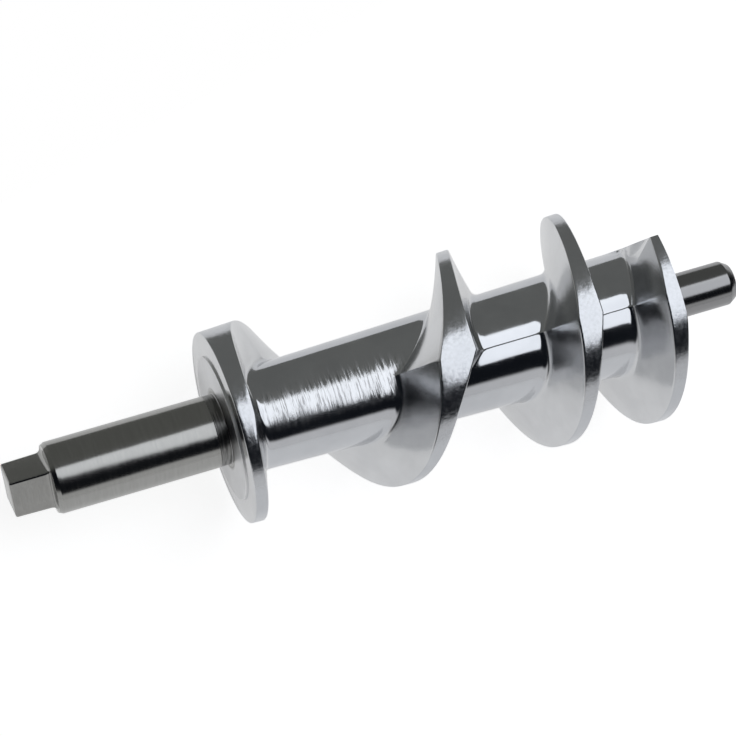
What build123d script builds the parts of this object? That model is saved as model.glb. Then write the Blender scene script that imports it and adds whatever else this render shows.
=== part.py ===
"""Auger of a small household meat grinder: one casting with turned and milled ends.

The axis is X. The origin lies on it, in the thrust face that bears on the housing. The drive tang
points to -X, and the knife seat and front pin to +X. The part lies on its side, with +Z up.
"""

import os
from math import cos, exp, hypot, radians, sin, tan

from build123d import *

# Driving dimensions, in millimetres and degrees

# Drive tang, a square with a little draft
tang_across = 8.0
tang_length = 8.0
tang_draft = 0.9
tang_edge = 0.4
tang_root_fillet = 1.1
tang_root_land = 0.05
tang_angle = 35.0

# Shank, the journal that runs in the housing
shank_d = 14.0
shank_length = 34.0
shank_chamfer = 0.4
shank_chamfer_length = 0.8
relief_width = 2.2
relief_depth = 0.08

# Flange with its raised thrust pad
pad_d = 28.4
pad_height = 0.4
pad_edge = 0.15
flange_d = 37.7
flange_thickness = 2.5
flange_back_angle = 16.0

# Conical core and the cone that the flight is turned to
core_d_flange = 19.5
core_d_end = 24.1
end_d = 45.6

# Flight: axial advance of each half turn, from the flange to the discharge end
first_crown = 7.5
half_turn_advance = (24.2, 19.9, 12.3, 10.6, 8.9, 6.4)
end_facing = 1.8
run_in_angle = 41.5
run_in_start = 1.1
free_flank_start_angle = -10
free_flank_angle = 80
rim_width = 2.55
rim_edge = 0.35
root_fillet = 1.6

# Mould: towards the parting plane the flight opens with its lead, at the root evenly to both sides,
# and at the rim more to one side. The flanks lean, the drive side by a fixed draft too.
rim_opening = 0.114
rim_opening_share = 0.72
root_opening = 0.1
drive_flank_angle = 11.0
drive_flank_lean = 0.0042
discharge_flank_lean = 0.0061
runout_draft = 2.0

# Knife seat and front pin
seat_across = 9.5
seat_length = 5.5
seat_edge = 0.8
pin_d = 8.9
pin_length = 18.4
pin_chamfer = 1.0
pin_chamfer_length = 1.6

# Roll of the mould's pull direction from +Z, as the casting lies on a table
lie_angle = 83.0

# Modelling values: overlap of the flight with the core, and spacing of its sections
core_overlap = 2.5
fillet_sink = 0.1
land = 0.2
section_angle = 15
start_angle = -150
parting_angle = -90

shank_r = shank_d / 2
body_length = first_crown + sum(half_turn_advance) - end_facing
flange_back = pad_height + flange_thickness
flange_middle = pad_height + flange_thickness / 2
pin_end = body_length + pin_length
last_crown_angle = 180 * len(half_turn_advance)
last_parting_angle = last_crown_angle - 90


def envelope_radius(x):
    """Radius of the turned cone that carries the flange rim and the flight's rim."""
    share = (x - pad_height) / (body_length - pad_height)
    return (flange_d + (end_d - flange_d) * share) / 2


def core_radius(x):
    """Radius of the conical core."""
    share = (x - pad_height) / (body_length - pad_height)
    return (core_d_flange + (core_d_end - core_d_flange) * share) / 2


def flight_middle(turn):
    """Axial place and lead of the flight's middle line, turn degrees after the flange's crown."""
    rise = first_crown - run_in_start
    if turn <= 0:
        grown = rise * exp(turn / run_in_angle)
        return run_in_start + grown, grown / run_in_angle * 360
    crowns = [first_crown]
    for advance in half_turn_advance:
        crowns.append(crowns[-1] + advance)
    last = len(crowns) - 1
    slopes = [rise / run_in_angle * 180]
    slopes += [(crowns[i + 1] - crowns[i - 1]) / 2 for i in range(1, last)]
    slopes.append(crowns[last] - crowns[last - 1])
    i = min(int(turn // 180), last - 1)
    u = turn / 180 - i
    ease = u * u * (3 - 2 * u)
    place = crowns[i] * (1 - ease) + crowns[i + 1] * ease
    place += slopes[i] * u * (1 - u) ** 2 - slopes[i + 1] * u * u * (1 - u)
    slope = (crowns[i + 1] - crowns[i]) * 6 * u * (1 - u)
    slope += slopes[i] * (1 - u) * (1 - 3 * u) - slopes[i + 1] * u * (2 - 3 * u)
    return place, slope * 2


def radial(turn):
    """Unit direction away from the axis, turn degrees after the flange's crown."""
    roll = radians(turn + lie_angle)
    return Vector(0, sin(roll), cos(roll))


def flight_section(turn):
    """Section of the flight in the plane through the axis, turn degrees after the flange's crown."""
    middle, lead = flight_middle(turn)
    height = envelope_radius(middle) - core_radius(middle)
    spread = lead * (1 - abs(cos(radians(turn)))) ** 2
    right_share = rim_opening_share if turn % 360 > 180 else 1 - rim_opening_share
    right = middle + rim_width / 2 + rim_opening * right_share * spread
    right_root = middle + rim_width / 2 + root_opening * spread + discharge_flank_lean * lead * height
    left = middle - rim_width / 2 - rim_opening * (1 - right_share) * spread
    drive_lean = tan(radians(drive_flank_angle)) + drive_flank_lean * lead
    left_root = middle - rim_width / 2 - root_opening * spread - drive_lean * height

    # The drive-side flank leaves the flange gradually
    u = min(max((turn - free_flank_start_angle) / free_flank_angle, 0), 1)
    free = u * u * (3 - 2 * u)
    left = flange_middle + (left - flange_middle) * free
    left_root = flange_middle + (left_root - flange_middle) * free
    left_fillet = rim_edge + (root_fillet - rim_edge) * free
    left_end = left_root - left_fillet - land
    right_end = right_root + root_fillet + land
    deep = core_radius(middle) - core_overlap
    outline = [
        (left_end, deep),
        (left_end, core_radius(left_end) - fillet_sink),
        (left_root, core_radius(left_root) - fillet_sink),
        (left, envelope_radius(left) - rim_edge),
        (left + rim_edge, envelope_radius(left + rim_edge)),
        (right - rim_edge, envelope_radius(right - rim_edge)),
        (right, envelope_radius(right) - rim_edge),
        (right_root, core_radius(right_root) - fillet_sink),
        (right_end, core_radius(right_end) - fillet_sink),
        (right_end, deep),
    ]
    corners = [0, 0, left_fillet, 0, 0, 0, 0, root_fillet, 0, 0]
    with BuildSketch(Plane(origin=(0, 0, 0), x_dir=(1, 0, 0), z_dir=radial(turn - 90))) as section:
        with BuildLine():
            FilletPolyline(*outline, radius=corners, close=True)
        make_face()
    return section.sketch


def flight_sections(start, end):
    """Sections of one stretch of the flight, between two turns."""
    return [flight_section(turn) for turn in range(start, end + 1, section_angle)]


tang_reach = hypot(tang_across / 2, tang_across / 2 - tang_edge)
tang_ledge = shank_r - shank_chamfer - tang_reach - tang_root_land
flange_reach = envelope_radius(flange_back) - core_radius(flange_back)
back_root = flange_back + tan(radians(flange_back_angle)) * flange_reach
back_corner = (back_root, core_radius(back_root))
turned_outline = [
    (-shank_length, 0),
    (-shank_length, shank_r - shank_chamfer),
    (-shank_length + shank_chamfer_length, shank_r),
    (-relief_width, shank_r),
    (-relief_width, shank_r - relief_depth),
    (0, shank_r - relief_depth),
    (0, pad_d / 2 - pad_edge),
    (pad_edge, pad_d / 2),
    (pad_height, pad_d / 2),
    (pad_height, envelope_radius(pad_height) - rim_edge),
    (pad_height + rim_edge, envelope_radius(pad_height + rim_edge)),
    (flange_back - rim_edge, envelope_radius(flange_back - rim_edge)),
    (flange_back, envelope_radius(flange_back) - rim_edge),
    back_corner,
    (body_length, core_radius(body_length)),
    (body_length, pin_d / 2),
    (pin_end - pin_chamfer_length, pin_d / 2),
    (pin_end, pin_d / 2 - pin_chamfer),
    (pin_end, 0),
]

with BuildPart() as auger:
    # The flight runs out in a flat that is tangent to the core, seen along the axis
    loft(flight_sections(last_parting_angle, last_crown_angle))
    runout = Plane(
        origin=radial(last_crown_angle) * core_radius(body_length),
        x_dir=(1, 0, 0),
        z_dir=radial(last_crown_angle - runout_draft),
    )
    with Locations(runout):
        low_side = (Align.CENTER, Align.CENTER, Align.MIN)
        Box(2 * pin_end, 2 * end_d, end_d, align=low_side, mode=Mode.SUBTRACT)

    # One loft for each half turn, creased where the halves of the mould met
    loft(flight_sections(start_angle, parting_angle))
    for parting in range(parting_angle, last_parting_angle, 180):
        loft(flight_sections(parting, parting + 180))

    # The discharge end is faced off square
    with BuildSketch(Plane.YZ.offset(body_length)):
        Circle(end_d)
    extrude(amount=end_d, mode=Mode.SUBTRACT)

    # Shank, flange, core and pin are turned
    with BuildSketch(Plane.XZ):
        with BuildLine():
            corners = [root_fillet if point == back_corner else 0 for point in turned_outline]
            FilletPolyline(*turned_outline, radius=corners, close=True)
        make_face()
    revolve(axis=Axis.X)

    # Knife seat
    with BuildSketch(Plane(origin=(body_length, 0, 0), x_dir=radial(-tang_angle), z_dir=(1, 0, 0))):
        RectangleRounded(seat_across, seat_across, seat_edge)
    extrude(amount=seat_length)

    # Drive tang, blended into the end of the shank
    tang_plane = Plane(origin=(-shank_length, 0, 0), x_dir=radial(-tang_angle), z_dir=(-1, 0, 0))
    with BuildSketch(tang_plane) as tang:
        Rectangle(tang_across, tang_across)
        chamfer(tang.vertices(), tang_edge)
    extrude(amount=tang_length, taper=tang_draft)
    tang_base = auger.edges().filter_by_position(Axis.X, -shank_length, -shank_length)
    fillet(tang_base.sort_by(SortBy.LENGTH)[:-1], min(tang_root_fillet, tang_ledge))
    chamfer(auger.edges().group_by(Axis.X)[0], tang_edge)

auger.part.label = "auger"
os.makedirs("parts", exist_ok=True)
export_step(auger.part, "parts/auger.step")
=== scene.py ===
"""Meat grinder auger, dressed for a studio picture: a fine mesh of the casting, plated and ground metal."""

from math import acos, cos, exp, pi, radians, sin, sqrt, tan
from types import SimpleNamespace

import bpy
import numpy as np
from mathutils import Matrix, Vector


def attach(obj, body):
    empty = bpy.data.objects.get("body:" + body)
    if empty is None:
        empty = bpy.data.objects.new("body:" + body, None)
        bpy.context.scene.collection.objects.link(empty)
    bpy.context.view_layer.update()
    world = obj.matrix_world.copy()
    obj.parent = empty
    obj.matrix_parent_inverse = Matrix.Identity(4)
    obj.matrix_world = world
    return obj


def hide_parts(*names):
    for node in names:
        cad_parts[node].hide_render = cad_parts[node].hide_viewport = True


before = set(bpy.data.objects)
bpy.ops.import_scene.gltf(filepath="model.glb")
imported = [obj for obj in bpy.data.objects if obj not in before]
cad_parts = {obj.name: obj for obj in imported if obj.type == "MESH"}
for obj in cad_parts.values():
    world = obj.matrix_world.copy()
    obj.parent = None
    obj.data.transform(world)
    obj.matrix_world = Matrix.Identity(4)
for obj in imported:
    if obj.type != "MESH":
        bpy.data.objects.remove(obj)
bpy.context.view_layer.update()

MM = 0.001

# Sizes of the casting, in millimetres and degrees. Its axis is X, and the thrust face lies at the origin.
TANG_HALF = 4.0
TANG_LENGTH = 8.0
TANG_DRAFT = 0.9
TANG_EDGE = 0.4
TANG_FILLET = 1.1
TANG_ROOT_LAND = 0.02
TANG_ANGLE = 35.0
SHANK_R = 7.0
SHANK_LENGTH = 34.0
SHANK_CHAMFER = 0.4
SHANK_CHAMFER_LENGTH = 0.8
RELIEF_WIDTH = 2.2
RELIEF_DEPTH = 0.08
PAD_R = 14.2
PAD_HEIGHT = 0.4
PAD_EDGE = 0.15
FLANGE_R = 18.85
FLANGE_BACK = 2.9
FLANGE_BACK_ANGLE = 16.0
CORE_R_FLANGE = 9.75
CORE_R_END = 12.05
END_R = 22.8
FIRST_CROWN = 7.5
HALF_TURN_ADVANCE = (24.2, 19.9, 12.3, 10.6, 8.9, 6.4)
END_FACING = 1.8
RUN_IN_ANGLE = 41.5
RUN_IN_START = 1.1
FREE_FLANK_START = -10.0
FREE_FLANK_ANGLE = 80.0
RIM_WIDTH = 2.55
RIM_EDGE = 0.35
ROOT_FILLET = 1.6
RIM_OPENING = 0.114
RIM_OPENING_SHARE = 0.72
ROOT_OPENING = 0.1
DRIVE_FLANK_ANGLE = 11.0
DRIVE_FLANK_LEAN = 0.0042
DISCHARGE_FLANK_LEAN = 0.0061
RUNOUT_DRAFT = 2.0
RUNOUT_FADE = 0.9
RUNOUT_FILLET = 4.0
SEAT_HALF = 4.75
SEAT_LENGTH = 5.5
SEAT_EDGE = 0.8
PIN_R = 4.45
PIN_LENGTH = 18.4
PIN_CHAMFER = 1.0
PIN_CHAMFER_LENGTH = 1.6
PIN_EDGE = 0.5
SMALL_EDGE = 0.12
FLASH_HEIGHT = 0.065
LIE_ANGLE = 83.0

CROWNS = [FIRST_CROWN + sum(HALF_TURN_ADVANCE[:i]) for i in range(len(HALF_TURN_ADVANCE) + 1)]
LAST_CROWN = 180 * len(HALF_TURN_ADVANCE)
BODY_END = CROWNS[-1] - END_FACING
PIN_END = BODY_END + PIN_LENGTH
FLANGE_MIDDLE = (PAD_HEIGHT + FLANGE_BACK) / 2
RIM_SLOPE = (END_R - FLANGE_R) / (BODY_END - PAD_HEIGHT)

# Stretch of the core that was filed by hand: along the axis, in radians round it from the top, and by
# radius. Its strokes lean the surface less near the flange than farther on.
FILED_X = (5.0, 37.0)
FILED_X_SOFT = 4.0
FILED_BELOW = (-0.60, -0.47)
FILED_ABOVE = (0.72, 0.42)
FILED_R = (12.0, 11.0)
FILE_TILT = (0.03, 0.12)
FILE_TILT_X = (12.0, 30.0)

# Grid of the mesh: one slice through the axis each degree, and the points along its stretches
FIRST_SLICE = -110
SLICES = 360
SHANK_NODES = 14
RIM_NODES = 6
GAP_NODES = 42
FACE_NODES = 6
PIN_RINGS = (3.0, 7.0)
ARC_STEPS = 12
END_ARC_STEPS = 4
FACE_ARC_STEPS = 3
CORE_STEPS = 160
FINE_STEPS = 1200
BEND_SPREAD = 41
CORNER_WEIGHT = 5.0
FILLET_REACH = 3
SHARP_ANGLE = 32.0

# Shares of a radius: the inner rings of the ends, which fans of triangles close, a run-out flat that
# lies outside every rim, and a height just clear of the core
TANG_FAN = 0.4
PIN_FAN = 0.3
NO_FLAT = 10.0
CLEAR_OF_CORE = 1.004

# Least cosine of the angle from the run-out flat's normal at which the flat still counts
LEAST_FACING = 0.1


def eased(u):
    """Smooth step from 0 to 1, level at both ends."""
    u = min(max(u, 0), 1)
    return u * u * (3 - 2 * u)


def cone(x, start, end):
    """Radius of a cone that runs from the flange to the discharge end."""
    return start + (end - start) * (x - PAD_HEIGHT) / (BODY_END - PAD_HEIGHT)


def rim_radius(x):
    """Radius of the turned cone that carries the rims."""
    return cone(x, FLANGE_R, END_R)


def core_radius(x):
    """Radius of the conical core."""
    return cone(x, CORE_R_FLANGE, CORE_R_END)


def flight_middle(turn):
    """Axial place and lead of the flight's middle line, turn degrees after the flange's crown."""
    rise = FIRST_CROWN - RUN_IN_START
    if turn <= 0:
        grown = rise * exp(turn / RUN_IN_ANGLE)
        return RUN_IN_START + grown, grown / RUN_IN_ANGLE * 360
    last = len(CROWNS) - 1
    slopes = [rise / RUN_IN_ANGLE * 180]
    slopes += [(CROWNS[i + 1] - CROWNS[i - 1]) / 2 for i in range(1, last)]
    slopes.append(CROWNS[last] - CROWNS[last - 1])
    i = min(int(turn // 180), last - 1)
    u = turn / 180 - i
    ease = eased(u)
    place = CROWNS[i] * (1 - ease) + CROWNS[i + 1] * ease
    place += slopes[i] * u * (1 - u) ** 2 - slopes[i + 1] * u * u * (1 - u)
    slope = (CROWNS[i + 1] - CROWNS[i]) * 6 * u * (1 - u)
    slope += slopes[i] * (1 - u) * (1 - 3 * u) - slopes[i + 1] * u * (2 - 3 * u)
    return place, slope * 2


def rounded(points, radii, steps=ARC_STEPS):
    """Polyline whose corners are rounded with arcs, as an array of x and radius."""
    path = [np.array(points[0], float)]
    for before, corner, after, radius in zip(points, points[1:], points[2:], radii[1:]):
        corner = np.array(corner, float)
        if radius == 0:
            path.append(corner)
            continue
        to_before = (np.array(before) - corner) / np.linalg.norm(np.array(before) - corner)
        to_after = (np.array(after) - corner) / np.linalg.norm(np.array(after) - corner)
        half = acos(max(-1, min(1, to_before @ to_after))) / 2
        middle = (to_before + to_after) / np.linalg.norm(to_before + to_after)
        centre = corner + middle * radius / sin(half)
        across = to_before - middle * (to_before @ middle)
        across = across / np.linalg.norm(across)
        for step in range(steps + 1):
            angle = (pi / 2 - half) * (1 - 2 * step / steps)
            path.append(centre - middle * radius * cos(angle) + across * radius * sin(angle))
    path.append(np.array(points[-1], float))
    return np.array(path)


def runout_share(turn):
    """Distance from the axis of the flat in which the flight runs out, as a share of the core's radius."""
    facing = cos(radians(turn - LAST_CROWN + RUNOUT_DRAFT))
    if turn < LAST_CROWN - 90 or facing < LEAST_FACING:
        return NO_FLAT
    return cos(radians(RUNOUT_DRAFT)) / facing


def flight_sides(turn):
    """The flight's drive and discharge sides at a turn, as paths of x and radius, and its rim's ends."""
    middle, lead = flight_middle(turn)
    height = rim_radius(middle) - core_radius(middle)
    spread = lead * (1 - abs(cos(radians(turn)))) ** 2
    right_share = RIM_OPENING_SHARE if turn % 360 > 180 else 1 - RIM_OPENING_SHARE
    right = middle + RIM_WIDTH / 2 + RIM_OPENING * right_share * spread
    right_root = middle + RIM_WIDTH / 2 + ROOT_OPENING * spread + DISCHARGE_FLANK_LEAN * lead * height
    left = middle - RIM_WIDTH / 2 - RIM_OPENING * (1 - right_share) * spread
    drive_lean = tan(radians(DRIVE_FLANK_ANGLE)) + DRIVE_FLANK_LEAN * lead
    left_root = middle - RIM_WIDTH / 2 - ROOT_OPENING * spread - drive_lean * height

    # The drive side leaves the flange gradually, and its fillet widens where the flight runs out
    free = eased((turn - FREE_FLANK_START) / FREE_FLANK_ANGLE)
    left = FLANGE_MIDDLE + (left - FLANGE_MIDDLE) * free
    left_root = FLANGE_MIDDLE + (left_root - FLANGE_MIDDLE) * free
    left_fillet = RIM_EDGE + (ROOT_FILLET - RIM_EDGE) * free
    fade = eased(1 - (runout_share(turn) - 1) * core_radius(middle) / RUNOUT_FADE)
    left_fillet += (RUNOUT_FILLET - ROOT_FILLET) * fade

    far_left = left_root - FILLET_REACH * left_fillet
    far_right = right_root + FILLET_REACH * ROOT_FILLET
    mid_rim = (left + right) / 2
    drive = rounded(
        [
            (far_left, core_radius(far_left)),
            (left_root, core_radius(left_root)),
            (left, rim_radius(left)),
            (mid_rim, rim_radius(mid_rim)),
        ],
        [0, left_fillet, RIM_EDGE, 0],
    )
    discharge = rounded(
        [
            (mid_rim, rim_radius(mid_rim)),
            (right, rim_radius(right)),
            (right_root, core_radius(right_root)),
            (far_right, core_radius(far_right)),
        ],
        [0, RIM_EDGE, ROOT_FILLET, 0],
    )
    return drive, discharge, left, right


def flange_side():
    """The flange's discharge side, from the middle of its rim to the core."""
    reach = rim_radius(FLANGE_BACK) - CORE_R_FLANGE
    root = FLANGE_BACK + tan(radians(FLANGE_BACK_ANGLE)) * reach
    far = root + FILLET_REACH * ROOT_FILLET
    return rounded(
        [
            (FLANGE_MIDDLE, rim_radius(FLANGE_MIDDLE)),
            (FLANGE_BACK, rim_radius(FLANGE_BACK)),
            (root, core_radius(root)),
            (far, core_radius(far)),
        ],
        [0, RIM_EDGE, ROOT_FILLET, 0],
    )


def resample(path, count):
    """A path's points again, count of them, closer together where it bends."""
    along = np.concatenate([[0], np.cumsum(np.hypot(*np.diff(path, axis=0).T))])
    fine = np.linspace(0, along[-1], FINE_STEPS)
    steps = np.diff([np.interp(fine, along, path[:, 0]), np.interp(fine, along, path[:, 1])], axis=1)
    bend = np.abs(np.diff(np.arctan2(steps[1], steps[0]), prepend=0))
    bend[0] = 0
    kernel = np.hanning(BEND_SPREAD)
    weight = fine[1] + CORNER_WEIGHT * np.convolve(bend, kernel / kernel.sum(), "same")
    weight = np.concatenate([[0], np.cumsum(weight)])
    wanted = np.interp(np.linspace(0, weight[-1], count), weight, fine)
    return np.stack([np.interp(wanted, along, path[:, 0]), np.interp(wanted, along, path[:, 1])], 1)


def gap(sides, start, end):
    """Path over a channel: the highest of the core and the sides that stand in it."""
    xs = np.concatenate([side[:, 0] for side in sides] + [np.linspace(start, end, CORE_STEPS)])
    xs = np.unique(np.clip(xs, start, end))
    radius = core_radius(xs)
    for side in sides:
        radius = np.maximum(radius, np.interp(xs, side[:, 0], side[:, 1], left=0, right=0))
    return resample(np.stack([xs, radius], 1), GAP_NODES)


def rim(start, end, share=NO_FLAT):
    """Path along a rim, held down to the run-out flat."""
    xs = np.linspace(start, end, RIM_NODES)
    return np.stack([xs, np.minimum(rim_radius(xs), share * core_radius(xs))], 1)


def cut_to_flat(drive, left, share):
    """The drive side, held down to the run-out flat, and where the rim or the flat begins."""
    flat = share * core_radius(drive[:, 0])
    if flat[-1] < rim_radius(left):
        bottom = np.maximum(flat, CLEAR_OF_CORE * core_radius(drive[:, 0]))
        edge = float(np.interp(0, drive[:, 1] - bottom, drive[:, 0]))
        drive = np.stack([drive[:, 0], np.minimum(drive[:, 1], flat)], 1)
    else:
        edge = left + RIM_EDGE
    return drive, min(edge, BODY_END - SMALL_EDGE)


def square_radius(turn, half, corner):
    """Distance from the axis to a rounded square's outline."""
    angle = radians(abs((turn + TANG_ANGLE + 45) % 90 - 45))
    flat = half - corner
    if tan(angle) <= flat / half:
        return half / cos(angle)
    reach = flat * (cos(angle) + sin(angle))
    return reach + sqrt(reach**2 - 2 * flat**2 + corner**2)


def drive_end(turn):
    """Path from the tang's end over the shank and the flange's drive face to the flange's rim."""
    tip = square_radius(turn, TANG_HALF - TANG_LENGTH * tan(radians(TANG_DRAFT)), TANG_EDGE)
    base = square_radius(turn, TANG_HALF, TANG_EDGE)
    ledge = SHANK_R - SHANK_CHAMFER - base
    tip_x = -SHANK_LENGTH - TANG_LENGTH
    shank_start = -SHANK_LENGTH + 2 * SHANK_CHAMFER_LENGTH
    tang = rounded(
        [
            (tip_x, tip * TANG_FAN),
            (tip_x, tip),
            (-SHANK_LENGTH, base),
            (-SHANK_LENGTH, SHANK_R - SHANK_CHAMFER),
            (-SHANK_LENGTH + SHANK_CHAMFER_LENGTH, SHANK_R),
            (shank_start, SHANK_R),
        ],
        [0, TANG_EDGE, min(TANG_FILLET, ledge - TANG_ROOT_LAND), 0, SMALL_EDGE, 0],
        END_ARC_STEPS,
    )
    shank_x = np.linspace(shank_start, -RELIEF_WIDTH, SHANK_NODES)[1:]
    shank = np.stack([shank_x, np.full(len(shank_x), SHANK_R)], 1)
    neck = SHANK_R - RELIEF_DEPTH
    face = rounded(
        [
            (-RELIEF_WIDTH + RELIEF_DEPTH, neck),
            (0, neck),
            (0, PAD_R),
            (PAD_HEIGHT, PAD_R),
            (PAD_HEIGHT, FLANGE_R),
            (PAD_HEIGHT + 2 * RIM_EDGE, rim_radius(PAD_HEIGHT + 2 * RIM_EDGE)),
        ],
        [0, SMALL_EDGE, PAD_EDGE, 0, RIM_EDGE, 0],
        FACE_ARC_STEPS,
    )
    return np.concatenate([tang, shank, face[:-1]])


def discharge_end(turn, end_r):
    """Path from the body's end face over the knife seat and the pin to the pin's end."""
    seat = square_radius(turn, SEAT_HALF, SEAT_EDGE)
    face_r = end_r + (seat - end_r) * np.linspace(0, 1, FACE_NODES)[1:-1]
    face = np.stack([np.full(len(face_r), BODY_END), face_r], 1)
    seat_end = BODY_END + SEAT_LENGTH
    pin = rounded(
        [
            (BODY_END, seat),
            (seat_end, seat),
            (seat_end, PIN_R),
            (seat_end + PIN_RINGS[0], PIN_R),
            (seat_end + PIN_RINGS[1], PIN_R),
            (PIN_END - PIN_CHAMFER_LENGTH, PIN_R),
            (PIN_END, PIN_R - PIN_CHAMFER),
            (PIN_END, PIN_R * PIN_FAN),
        ],
        [0, SMALL_EDGE, 0, 0, 0, PIN_EDGE, PIN_EDGE, 0],
        END_ARC_STEPS,
    )
    return np.concatenate([face, pin])


def add_flash(path, first, last):
    """Raises a thin line of flash where the halves of the mould met, turned away on the rims."""
    cast = np.arange(len(path))
    cast = (cast > first) & (cast < last)
    cast &= path[:, 1] < rim_radius(path[:, 0]) - 2 * RIM_EDGE
    cast &= path[:, 0] > FILED_X[1]
    path[cast, 1] += FLASH_HEIGHT


def slice_path(turn):
    """Whole outline of the part in the half plane at a turn, and the names and lengths of its stretches."""
    flights = list(range(turn, LAST_CROWN + 1, 360))
    pieces = [drive_end(turn)]
    names = ["drive"]
    befores = [flange_side()]
    rim_start = pieces[0][-1][0]
    rim_end = FLANGE_BACK - RIM_EDGE
    if flight_sides(flights[0])[2] < FLANGE_BACK + SMALL_EDGE:
        # The groove between the flange and the flight hasn't opened yet
        _, discharge, _, right = flight_sides(flights.pop(0))
        befores.append(discharge)
        rim_end = max(rim_end, right - RIM_EDGE)
        names.append("closed")
    else:
        names.append("flange")
    pieces.append(rim(rim_start, rim_end)[1:])
    ended = False
    for flight in flights:
        drive, discharge, left, right = flight_sides(flight)
        share = runout_share(flight)
        drive, edge = cut_to_flat(drive, left, share)
        pieces.append(gap(befores + [drive], rim_end, edge)[1:])
        names.append("gap")
        rim_end = right - RIM_EDGE
        ended = rim_end > BODY_END - SMALL_EDGE
        pieces.append(rim(edge, BODY_END if ended else rim_end, share)[1:])
        names.append("cut" if ended else "rim")
        befores = [discharge]
    if not ended:
        pieces.append(gap(befores, rim_end, BODY_END)[1:])
        names.append("end")
    body = sum(len(piece) for piece in pieces)
    pieces.append(discharge_end(turn, pieces[-1][-1][1]))
    names.append("pin")
    path = np.concatenate(pieces)
    if turn % 180 == 90:
        add_flash(path, len(pieces[0]) + RIM_NODES, body - 1)
    return path, [(name, len(piece)) for name, piece in zip(names, pieces)]


def shared(one, other):
    """Number of points in the stretches that two slices have in common at their start."""
    total = 0
    for stretch, match in zip(one, other):
        if stretch != match:
            break
        total += stretch[1]
    return total


def ladder(a, b):
    """Quads between two rows of as many points."""
    return [(a[j], a[j + 1], b[j + 1], b[j]) for j in range(len(a) - 1)]


def zipper(a, b, points):
    """Triangles between two neighbouring slices that have different numbers of points."""
    faces = []
    j, k = 0, 0
    while j < len(a) - 1 or k < len(b) - 1:
        step_a = np.linalg.norm(points[a[j + 1]] - points[b[k]]) if j < len(a) - 1 else np.inf
        step_b = np.linalg.norm(points[a[j]] - points[b[k + 1]]) if k < len(b) - 1 else np.inf
        if step_a <= step_b:
            faces.append((a[j], a[j + 1], b[k]))
            j += 1
        else:
            faces.append((a[j], b[k + 1], b[k]))
            k += 1
    return faces


def build_auger():
    """The whole part as one closed mesh, slice by slice round the axis."""
    turns = [FIRST_SLICE + i * 360 // SLICES for i in range(SLICES)]
    paths = [slice_path(turn) for turn in turns]
    points = []
    rows = []
    count = 0
    for turn, (path, _) in zip(turns, paths):
        roll = radians(turn + LIE_ANGLE)
        points.append(np.stack([path[:, 0], path[:, 1] * sin(roll), path[:, 1] * cos(roll)], 1))
        rows.append(list(range(count, count + len(path))))
        count += len(path)
    tip = (-SHANK_LENGTH - TANG_LENGTH, 0, 0)
    points = np.concatenate(points + [np.array([tip, (PIN_END, 0, 0)])])
    faces = []
    for i in range(SLICES):
        a, b = rows[i], rows[(i + 1) % SLICES]
        one, other = paths[i][1], paths[(i + 1) % SLICES][1]
        if one == other:
            faces += ladder(a, b)
        else:
            head = shared(one, other)
            tail = shared(one[::-1], other[::-1])
            faces += ladder(a[:head], b[:head])
            faces += zipper(a[head - 1 : 1 - tail], b[head - 1 : 1 - tail], points)
            faces += ladder(a[-tail:], b[-tail:])
        faces.append((count, a[0], b[0]))
        faces.append((count + 1, b[-1], a[-1]))
    mesh = bpy.data.meshes.new("auger_casting")
    mesh.from_pydata((points * MM).tolist(), [], faces)
    mesh.validate()
    mesh.polygons.foreach_set("use_smooth", [True] * len(mesh.polygons))
    mesh.set_sharp_from_angle(angle=radians(SHARP_ANGLE))
    piece = bpy.data.objects.new("auger_casting", mesh)
    bpy.context.scene.collection.objects.link(piece)
    return piece


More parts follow.
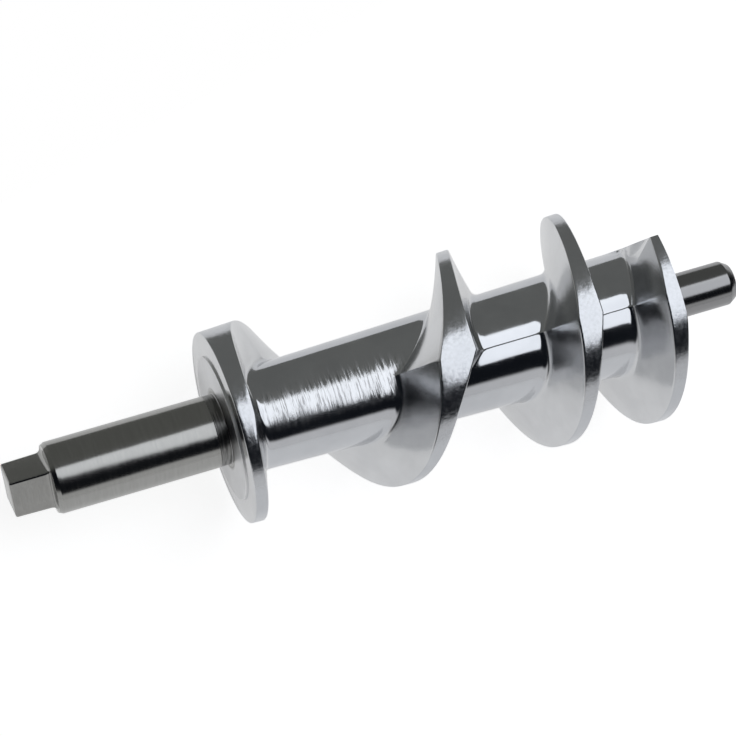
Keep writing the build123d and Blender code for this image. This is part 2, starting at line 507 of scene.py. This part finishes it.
class Nodes:
    """Short ways to add and join shader nodes."""

    def __init__(self, tree):
        self.tree = tree
        tree.nodes.clear()

    def add(self, kind, inputs=None, **settings):
        """A node with its inputs set to values or joined to other nodes."""
        node = self.tree.nodes.new(kind)
        for name, value in settings.items():
            setattr(node, name, value)
        for name, value in (inputs or {}).items():
            if isinstance(value, bpy.types.NodeSocket):
                self.tree.links.new(value, node.inputs[name])
            else:
                node.inputs[name].default_value = value
        return node

    def math(self, operation, a, b=0.0):
        return self.add("ShaderNodeMath", {0: a, 1: b}, operation=operation).outputs[0]

    def times(self, a, b):
        return self.math("MULTIPLY", a, b)

    def ramp(self, value, low, high, out_low=0.0, out_high=1.0):
        """Smooth step of a value between two levels."""
        node = self.add(
            "ShaderNodeMapRange",
            {"Value": value, "From Min": low, "From Max": high, "To Min": out_low, "To Max": out_high},
            interpolation_type="SMOOTHSTEP",
        )
        return node.outputs["Result"]

    def between(self, value, low, high, soft):
        """One inside a range, zero outside, with soft ends."""
        return self.times(self.ramp(value, low, low + soft), self.ramp(value, high, high - soft))

    def noise(self, vector, scale, detail, roughness):
        node = self.add(
            "ShaderNodeTexNoise",
            {"Vector": vector, "Scale": scale, "Detail": detail, "Roughness": roughness},
        )
        return node.outputs["Fac"]

    def mix(self, factor, a, b):
        """Colours or plain numbers, blended."""
        colours = isinstance(b, tuple) or getattr(b, "type", "") == "RGBA"
        kind, first = ("RGBA", 6) if colours else ("FLOAT", 2)
        node = self.add("ShaderNodeMix", {0: factor, first: a, first + 1: b}, data_type=kind)
        return node.outputs[2 if colours else 0]

    def shades(self, noise, low, high, colours):
        """Two colours, blended by where a noise lies between two levels."""
        dark, light = colours
        return self.mix(self.ramp(noise, low, high), (*dark, 1), (*light, 1))

    def vector(self, operation, a, b=(0, 0, 0)):
        return self.add("ShaderNodeVectorMath", {0: a, 1: b}, operation=operation).outputs[0]

    def scaled(self, vector, scale):
        return self.add("ShaderNodeVectorMath", {0: vector, "Scale": scale}, operation="SCALE").outputs[0]

    def bump(self, height, strength, distance, normal):
        """Normal bent by a height, with the distance in millimetres."""
        inputs = {"Height": height, "Strength": strength, "Distance": distance * MM, "Normal": normal}
        return self.add("ShaderNodeBump", inputs).outputs[0]


# Colours of the metal, with a darker and a lighter shade where they vary
PLATING = ((0.53, 0.543, 0.57), (0.58, 0.593, 0.62))
# Flanks: the plating painted lighter than the core's, as painted light
FLANK_PAINTED_LIGHTER = ((0.63, 0.637, 0.65), (0.70, 0.707, 0.72))
STEEL = ((0.345, 0.345, 0.335), (0.375, 0.375, 0.365))
# Relief band beside the flange: turned rings, painted darker as painted shade
RELIEF_RINGS_AND_PAINTED_SHADE = ((0.12, 0.12, 0.118), (0.27, 0.27, 0.265))
# Inner ring of the pad face: facing rings, painted darker as painted shade beside the shank
FACED_RINGS_AND_PAINTED_SHADE = ((0.2, 0.2, 0.195), (0.42, 0.42, 0.41))
STREAKS = ((0.33, 0.335, 0.345), (0.62, 0.63, 0.65))
PIN_STEEL = (0.28, 0.28, 0.285)
# The thrust pad's edge, painted pale as a painted highlight
PAINTED_EDGE_HIGHLIGHT = (0.85, 0.855, 0.86)

# Roughness of the finishes, from the smoothest to the dullest spots where it varies
PLATING_ROUGH = (0.08, 0.13)
FLANK_ROUGH = (0.15, 0.22)
RIM_ROUGH = (0.15, 0.24)
FILED_ROUGH = (0.12, 0.26)
STEEL_ROUGH = (0.15, 0.18)
TANG_ROUGH = 0.13
RELIEF_ROUGH = 0.28
PAD_ROUGH = 0.3
PAD_EDGE_ROUGH = 0.5

# Levels between which most of a noise lies, and the width of a mask's edge in millimetres
MOST = (0.3, 0.7)
SOFT = 0.1

# Where the finishes begin and end: the pin's steel past the end face, the pad face's inner ring that is
# painted darker as painted shade, the thrust pad's edge that is painted pale as a painted highlight, rims
# below the turned cone, how far a flank faces along the axis, streaks in radians
PIN_STEEL_X = (0.4, 0.6)
FACED_AND_SHADED_R = (8.4, 7.6)
PAD_EDGE_WIDTH = 0.3
RIM_BELOW = (-0.3, -0.1)
FLANK_FACING = (0.35, 0.75)
STREAK_ANGLE = (0.35, 0.05)

# Marks: scale, detail and roughness of each noise. In a radian round the axis the noise of rings and
# strokes moves only a short step, so that they run round it.
RINGS = (2.4, 3.0, 0.6)
STROKES = (1.5, 4.0, 0.7)
HAIRS = (2.6, 3.0, 0.65)
WAVES = (0.16, 1.0, 0.5)
PORES = (1.6, 2.0, 0.6)
BLOTCHES = (0.12, 3.0, 0.6)
RING_STEP = 0.5
STROKE_STEP = 0.9

# Levels of a mark between which the surface changes, and the lean of a stroke at its two levels
RING_LEVELS = (0.4, 0.6)
HAIR_LEVELS = (0.36, 0.50)
STROKE_LEVELS = (0.42, 0.72)
STROKE_LEAN = (-0.4, 1.0)

# Strength of the bumps, by finish, and their depth in millimetres
WAVES_ON_CORE = 0.10
WAVES_ON_FLANKS = 0.2
PORES_ON_CORE = 0.01
PORES_ON_FLANKS = 0.04
PORES_ON_RIMS = 0.16
STROKES_ON_CORE = 0.25
RINGS_ON_STEEL = 0.015
RINGS_ON_PIN = 0.08
RINGS_ON_RELIEF = 0.6
WAVE_DEPTH = 0.4
FINE_DEPTH = 0.1


def surface_point(n):
    """A surface point: its place in millimetres, its radius, its angle from the top, and its normal."""
    place = n.scaled(n.add("ShaderNodeTexCoord").outputs["Object"], 1 / MM)
    x, y, z = n.add("ShaderNodeSeparateXYZ", {0: place}).outputs
    radius = n.math("SQRT", n.math("ADD", n.times(y, y), n.times(z, z)))
    angle = n.math("ARCTAN2", y, z)
    normal = n.add("ShaderNodeNewGeometry").outputs["Normal"]
    return SimpleNamespace(place=place, x=x, y=y, z=z, radius=radius, angle=angle, normal=normal)


def finish_masks(n, at):
    """Masks of the ways the surface was finished, and of where shade, a highlight and lighter flanks are
    painted.
    """
    drive = n.ramp(at.x, 0.0, -SOFT)
    relief = n.times(drive, n.ramp(at.x, -RELIEF_WIDTH - SOFT, -RELIEF_WIDTH + SOFT))
    tang = n.ramp(at.x, -SHANK_LENGTH + SOFT, -SHANK_LENGTH - SOFT)
    pin = n.ramp(at.x, BODY_END + PIN_STEEL_X[0], BODY_END + PIN_STEEL_X[1])
    turned = n.math("MAXIMUM", drive, pin)

    # The thrust pad's face, its inner ring with facing rings and painted shade beside the shank, and its
    # edge, painted pale as a painted highlight
    pad = n.times(n.ramp(at.x, SOFT, SOFT / 2), n.ramp(at.radius, SHANK_R - SOFT / 2, SHANK_R + SOFT / 2))
    faced_ring_and_shade = n.times(pad, n.ramp(at.radius, *FACED_AND_SHADED_R))
    pad_edge = n.between(at.radius, PAD_R - PAD_EDGE_WIDTH, PAD_R + SOFT, SOFT)
    pad_edge = n.times(pad_edge, n.ramp(at.x, PAD_HEIGHT + SOFT, PAD_HEIGHT))

    # Rims lie on the turned cone, and flanks face along the axis
    rim_line = n.times(n.math("SUBTRACT", at.x, PAD_HEIGHT), RIM_SLOPE)
    above_rim = n.math("SUBTRACT", n.math("SUBTRACT", at.radius, FLANGE_R), rim_line)
    rims = n.ramp(above_rim, *RIM_BELOW)
    facing = n.add("ShaderNodeSeparateXYZ", {0: at.normal}).outputs["X"]
    flanks = n.ramp(n.math("ABSOLUTE", facing), *FLANK_FACING)

    filed = n.times(n.ramp(at.angle, *FILED_BELOW), n.ramp(at.angle, *FILED_ABOVE))
    filed = n.times(filed, n.between(at.x, *FILED_X, FILED_X_SOFT))
    filed = n.times(filed, n.ramp(at.radius, *FILED_R))
    return SimpleNamespace(
        relief=relief,
        tang=tang,
        pin=pin,
        turned=turned,
        pad=pad,
        faced_ring_and_shade=faced_ring_and_shade,
        pad_edge=pad_edge,
        rims=rims,
        flanks=flanks,
        filed=filed,
    )


def surface_marks(n, at):
    """Rings round the axis, strokes and hairs of a file, waves, pores and blotches of the casting."""
    inputs = {"X": at.x, "Y": n.times(at.angle, RING_STEP), "Z": at.radius}
    ring_place = n.add("ShaderNodeCombineXYZ", inputs).outputs[0]
    inputs = {"X": at.x, "Y": n.times(at.angle, STROKE_STEP)}
    stroke_place = n.add("ShaderNodeCombineXYZ", inputs).outputs[0]
    return SimpleNamespace(
        rings=n.noise(ring_place, *RINGS),
        strokes=n.noise(stroke_place, *STROKES),
        hairs=n.noise(stroke_place, *HAIRS),
        waves=n.noise(at.place, *WAVES),
        pores=n.noise(at.place, *PORES),
        blotches=n.noise(at.place, *BLOTCHES),
    )


def metal_colour(n, at, mask, mark):
    """Bright plating on the casting, greyer steel where it was turned; flanks painted lighter as painted
    light, the relief and the pad's inner ring painted darker as painted shade, the pad's edge painted pale
    as a painted highlight.
    """
    # Where the surface faces along the axis the plating is painted lighter, as painted light
    flank = n.shades(mark.blotches, *MOST, FLANK_PAINTED_LIGHTER)
    plated = n.mix(mask.flanks, n.shades(mark.blotches, *MOST, PLATING), flank)
    # The pad face's inner ring is painted darker, as painted shade, with its facing rings
    plated = n.mix(mask.faced_ring_and_shade, plated, n.shades(mark.rings, *RING_LEVELS, FACED_RINGS_AND_PAINTED_SHADE))
    streaked = n.times(mask.filed, n.ramp(at.angle, *STREAK_ANGLE))
    plated = n.mix(streaked, plated, n.shades(mark.hairs, *HAIR_LEVELS, STREAKS))
    # The thrust pad's edge is painted pale, as a painted highlight
    plated = n.mix(mask.pad_edge, plated, (*PAINTED_EDGE_HIGHLIGHT, 1))
    steel = n.mix(mask.pin, n.shades(mark.rings, *MOST, STEEL), (*PIN_STEEL, 1))
    # The relief band is painted darker, as painted shade, with its turned rings
    steel = n.mix(mask.relief, steel, n.shades(mark.rings, *RING_LEVELS, RELIEF_RINGS_AND_PAINTED_SHADE))
    return n.mix(mask.turned, plated, steel)


def metal_roughness(n, mask, mark):
    """Shinier core, duller flanks and rims, dull pad and relief."""
    flank = n.ramp(mark.blotches, *MOST, *FLANK_ROUGH)
    cast = n.mix(mask.flanks, n.ramp(mark.blotches, *MOST, *PLATING_ROUGH), flank)
    cast = n.mix(mask.rims, cast, n.ramp(mark.pores, *MOST, *RIM_ROUGH))
    cast = n.mix(mask.filed, cast, n.ramp(mark.strokes, *MOST, *FILED_ROUGH))
    cast = n.mix(mask.pad, cast, PAD_ROUGH)
    cast = n.mix(mask.pad_edge, cast, PAD_EDGE_ROUGH)
    steel = n.mix(mask.tang, n.ramp(mark.rings, *MOST, *STEEL_ROUGH), TANG_ROUGH)
    steel = n.mix(mask.relief, steel, RELIEF_ROUGH)
    return n.mix(mask.turned, cast, steel)


def metal_normal(n, at, mask, mark):
    """Normal bent by file strokes, waves, pores and turned rings."""
    # Each stroke of the file leans the surface round the axis by its own amount, less near the flange
    inputs = {"Y": n.math("DIVIDE", at.z, at.radius), "Z": n.math("DIVIDE", at.y, at.radius)}
    round_axis = n.add("ShaderNodeCombineXYZ", inputs).outputs[0]
    round_axis = n.vector("MULTIPLY", round_axis, (0, -1, 1))
    lean = n.times(n.ramp(mark.strokes, *STROKE_LEVELS, *STROKE_LEAN), mask.filed)
    lean = n.times(lean, n.ramp(at.x, *FILE_TILT_X, *FILE_TILT))
    bent = n.vector("NORMALIZE", n.vector("ADD", at.normal, n.scaled(round_axis, lean)))

    waves = n.mix(mask.flanks, WAVES_ON_CORE, WAVES_ON_FLANKS)
    bent = n.bump(mark.waves, waves, WAVE_DEPTH, bent)
    pores = n.mix(mask.flanks, PORES_ON_CORE, PORES_ON_FLANKS)
    bent = n.bump(mark.pores, n.mix(mask.rims, pores, PORES_ON_RIMS), FINE_DEPTH, bent)
    bent = n.bump(mark.strokes, n.times(mask.filed, STROKES_ON_CORE), FINE_DEPTH, bent)
    rings = n.mix(mask.pin, n.times(mask.turned, RINGS_ON_STEEL), RINGS_ON_PIN)
    return n.bump(mark.rings, n.mix(mask.relief, rings, RINGS_ON_RELIEF), FINE_DEPTH, bent)


def plated_metal():
    """Plated and ground metal of the whole part, finished in different ways from place to place, with
    painted light and shade in places.
    """
    material = bpy.data.materials.new("plated_metal")
    material.use_nodes = True
    n = Nodes(material.node_tree)
    at = surface_point(n)
    mask = finish_masks(n, at)
    mark = surface_marks(n, at)
    shader = n.add(
        "ShaderNodeBsdfPrincipled",
        {
            "Base Color": metal_colour(n, at, mask, mark),
            "Metallic": 1.0,
            "Roughness": metal_roughness(n, mask, mark),
            "Normal": metal_normal(n, at, mask, mark),
        },
    )
    n.add("ShaderNodeOutputMaterial", {"Surface": shader.outputs[0]})
    return material


# Stage, in metres: a white table that touches the rims and ends close behind the part, with a slanted
# back edge, a large soft light overhead, and a dim room that is white to the camera
TABLE_LEFT = -0.12
TABLE_RIGHT = 1.5
TABLE_FRONT = -1.5
TABLE_BACK = (0.036, 0.425)
TABLE_COLOUR = (0.55, 0.55, 0.55)
TABLE_GLOW = 0.85
TABLE_IN_METAL = 0.60
SOFTBOX_PLACE = (0.383, -0.006, 0.7)
SOFTBOX_SIZE = (0.8, 0.636)
SOFTBOX_TURN = 30.0
SOFTBOX_POWER = 2.35
SOFTBOX_COLOUR = (0.94, 0.965, 1.0)
ROOM_BEHIND = (0.165, 0.168, 0.160)
ROOM_IN_FRONT = (0.008, 0.0095, 0.0125)
ROOM_LOW = (0.7, 0.7, 0.7)
ROOM_LEFT = (0.62, 0.62, 0.62)

# Where the room's shades set in, by the parts of a direction along the part, across it and up
ROOM_BEHIND_ACROSS = (0.05, 0.45)
ROOM_LOW_ACROSS = (-0.5, -0.8)
ROOM_LOW_UP = (0.40, 0.26)
ROOM_LEFT_ALONG = (-0.35, -0.65)
ROOM_LEFT_UP = (0.05, -0.25)


def white_table():
    """Table that looks white to the camera and pale in the metal, and keeps a soft shadow."""
    material = bpy.data.materials.new("white_table")
    material.use_nodes = True
    n = Nodes(material.node_tree)
    rays = n.add("ShaderNodeLightPath")
    seen = n.times(rays.outputs["Is Camera Ray"], TABLE_GLOW)
    reflected = n.times(rays.outputs["Is Glossy Ray"], TABLE_IN_METAL)
    diffuse = n.add("ShaderNodeBsdfDiffuse", {"Color": (*TABLE_COLOUR, 1)})
    glow = n.add("ShaderNodeEmission", {"Strength": n.math("MAXIMUM", seen, reflected)})
    both = n.add("ShaderNodeAddShader", {0: diffuse.outputs[0], 1: glow.outputs[0]})
    n.add("ShaderNodeOutputMaterial", {"Surface": both.outputs[0]})
    return material


def room():
    """Surroundings: dim behind the part, nearly black in front of it, pale low in front and at the left."""
    world = bpy.data.worlds.new("room")
    world.use_nodes = True
    n = Nodes(world.node_tree)
    direction = n.add("ShaderNodeTexCoord").outputs["Generated"]
    along, across, up = n.add("ShaderNodeSeparateXYZ", {0: direction}).outputs
    low = n.times(n.ramp(up, *ROOM_LOW_UP), n.ramp(across, *ROOM_LOW_ACROSS))
    front = n.mix(low, (*ROOM_IN_FRONT, 1), (*ROOM_LOW, 1))
    shade = n.mix(n.ramp(across, *ROOM_BEHIND_ACROSS), front, (*ROOM_BEHIND, 1))
    left = n.times(n.ramp(up, *ROOM_LEFT_UP), n.ramp(along, *ROOM_LEFT_ALONG))
    shade = n.mix(left, shade, (*ROOM_LEFT, 1))
    seen = n.add("ShaderNodeLightPath").outputs["Is Camera Ray"]
    glow = n.add("ShaderNodeBackground", {"Color": n.mix(seen, shade, (1, 1, 1, 1))})
    n.add("ShaderNodeOutputWorld", {"Surface": glow.outputs[0]})
    return world


def build_stage():
    """Table, light and room."""
    corners = [
        (TABLE_LEFT, TABLE_FRONT),
        (TABLE_RIGHT, TABLE_FRONT),
        (TABLE_RIGHT, TABLE_BACK[1]),
        (TABLE_LEFT, TABLE_BACK[0]),
    ]
    points = [(x, y, -FLANGE_R * MM - RIM_SLOPE * (x - PAD_HEIGHT * MM)) for x, y in corners]
    mesh = bpy.data.meshes.new("table")
    mesh.from_pydata(points, [], [(0, 1, 2, 3)])
    mesh.materials.append(white_table())
    table = bpy.data.objects.new("table", mesh)
    bpy.context.scene.collection.objects.link(table)

    lamp = bpy.data.lights.new("softbox", "AREA")
    lamp.shape = "RECTANGLE"
    lamp.size, lamp.size_y = SOFTBOX_SIZE
    lamp.energy = SOFTBOX_POWER
    lamp.color = SOFTBOX_COLOUR
    softbox = bpy.data.objects.new("softbox", lamp)
    softbox.location = SOFTBOX_PLACE
    softbox.rotation_euler = (0, 0, radians(SOFTBOX_TURN))
    bpy.context.scene.collection.objects.link(softbox)
    bpy.context.scene.world = room()


# Camera as in the photograph: its place and its axes in the part's frame, then its lens, its sensor and
# the nearest distance it sees, in millimetres
CAMERA_PLACE = (-91.32, -90.54, 526.75)
CAMERA_RIGHT = (0.93649, -0.31113, 0.16181)
CAMERA_UP = (0.27090, 0.93482, 0.22961)
CAMERA_LENS = 139.39
CAMERA_SENSOR = 36
CAMERA_NEAR = 10.0


def build_camera():
    """The photograph's view."""
    data = bpy.data.cameras.new("camera")
    data.sensor_width = CAMERA_SENSOR
    data.lens = CAMERA_LENS
    data.clip_start = CAMERA_NEAR * MM
    camera = bpy.data.objects.new("camera", data)
    right = Vector(CAMERA_RIGHT).normalized()
    back = right.cross(Vector(CAMERA_UP)).normalized()
    up = back.cross(right)
    turn = Matrix((right, up, back)).transposed().to_4x4()
    camera.matrix_world = Matrix.Translation(Vector(CAMERA_PLACE) * MM) @ turn
    bpy.context.scene.collection.objects.link(camera)
    bpy.context.scene.camera = camera


casting = build_auger()
casting.data.materials.append(plated_metal())
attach(casting, "root")
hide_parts("auger")
build_stage()
build_camera()
bpy.context.scene.view_settings.view_transform = "Standard"
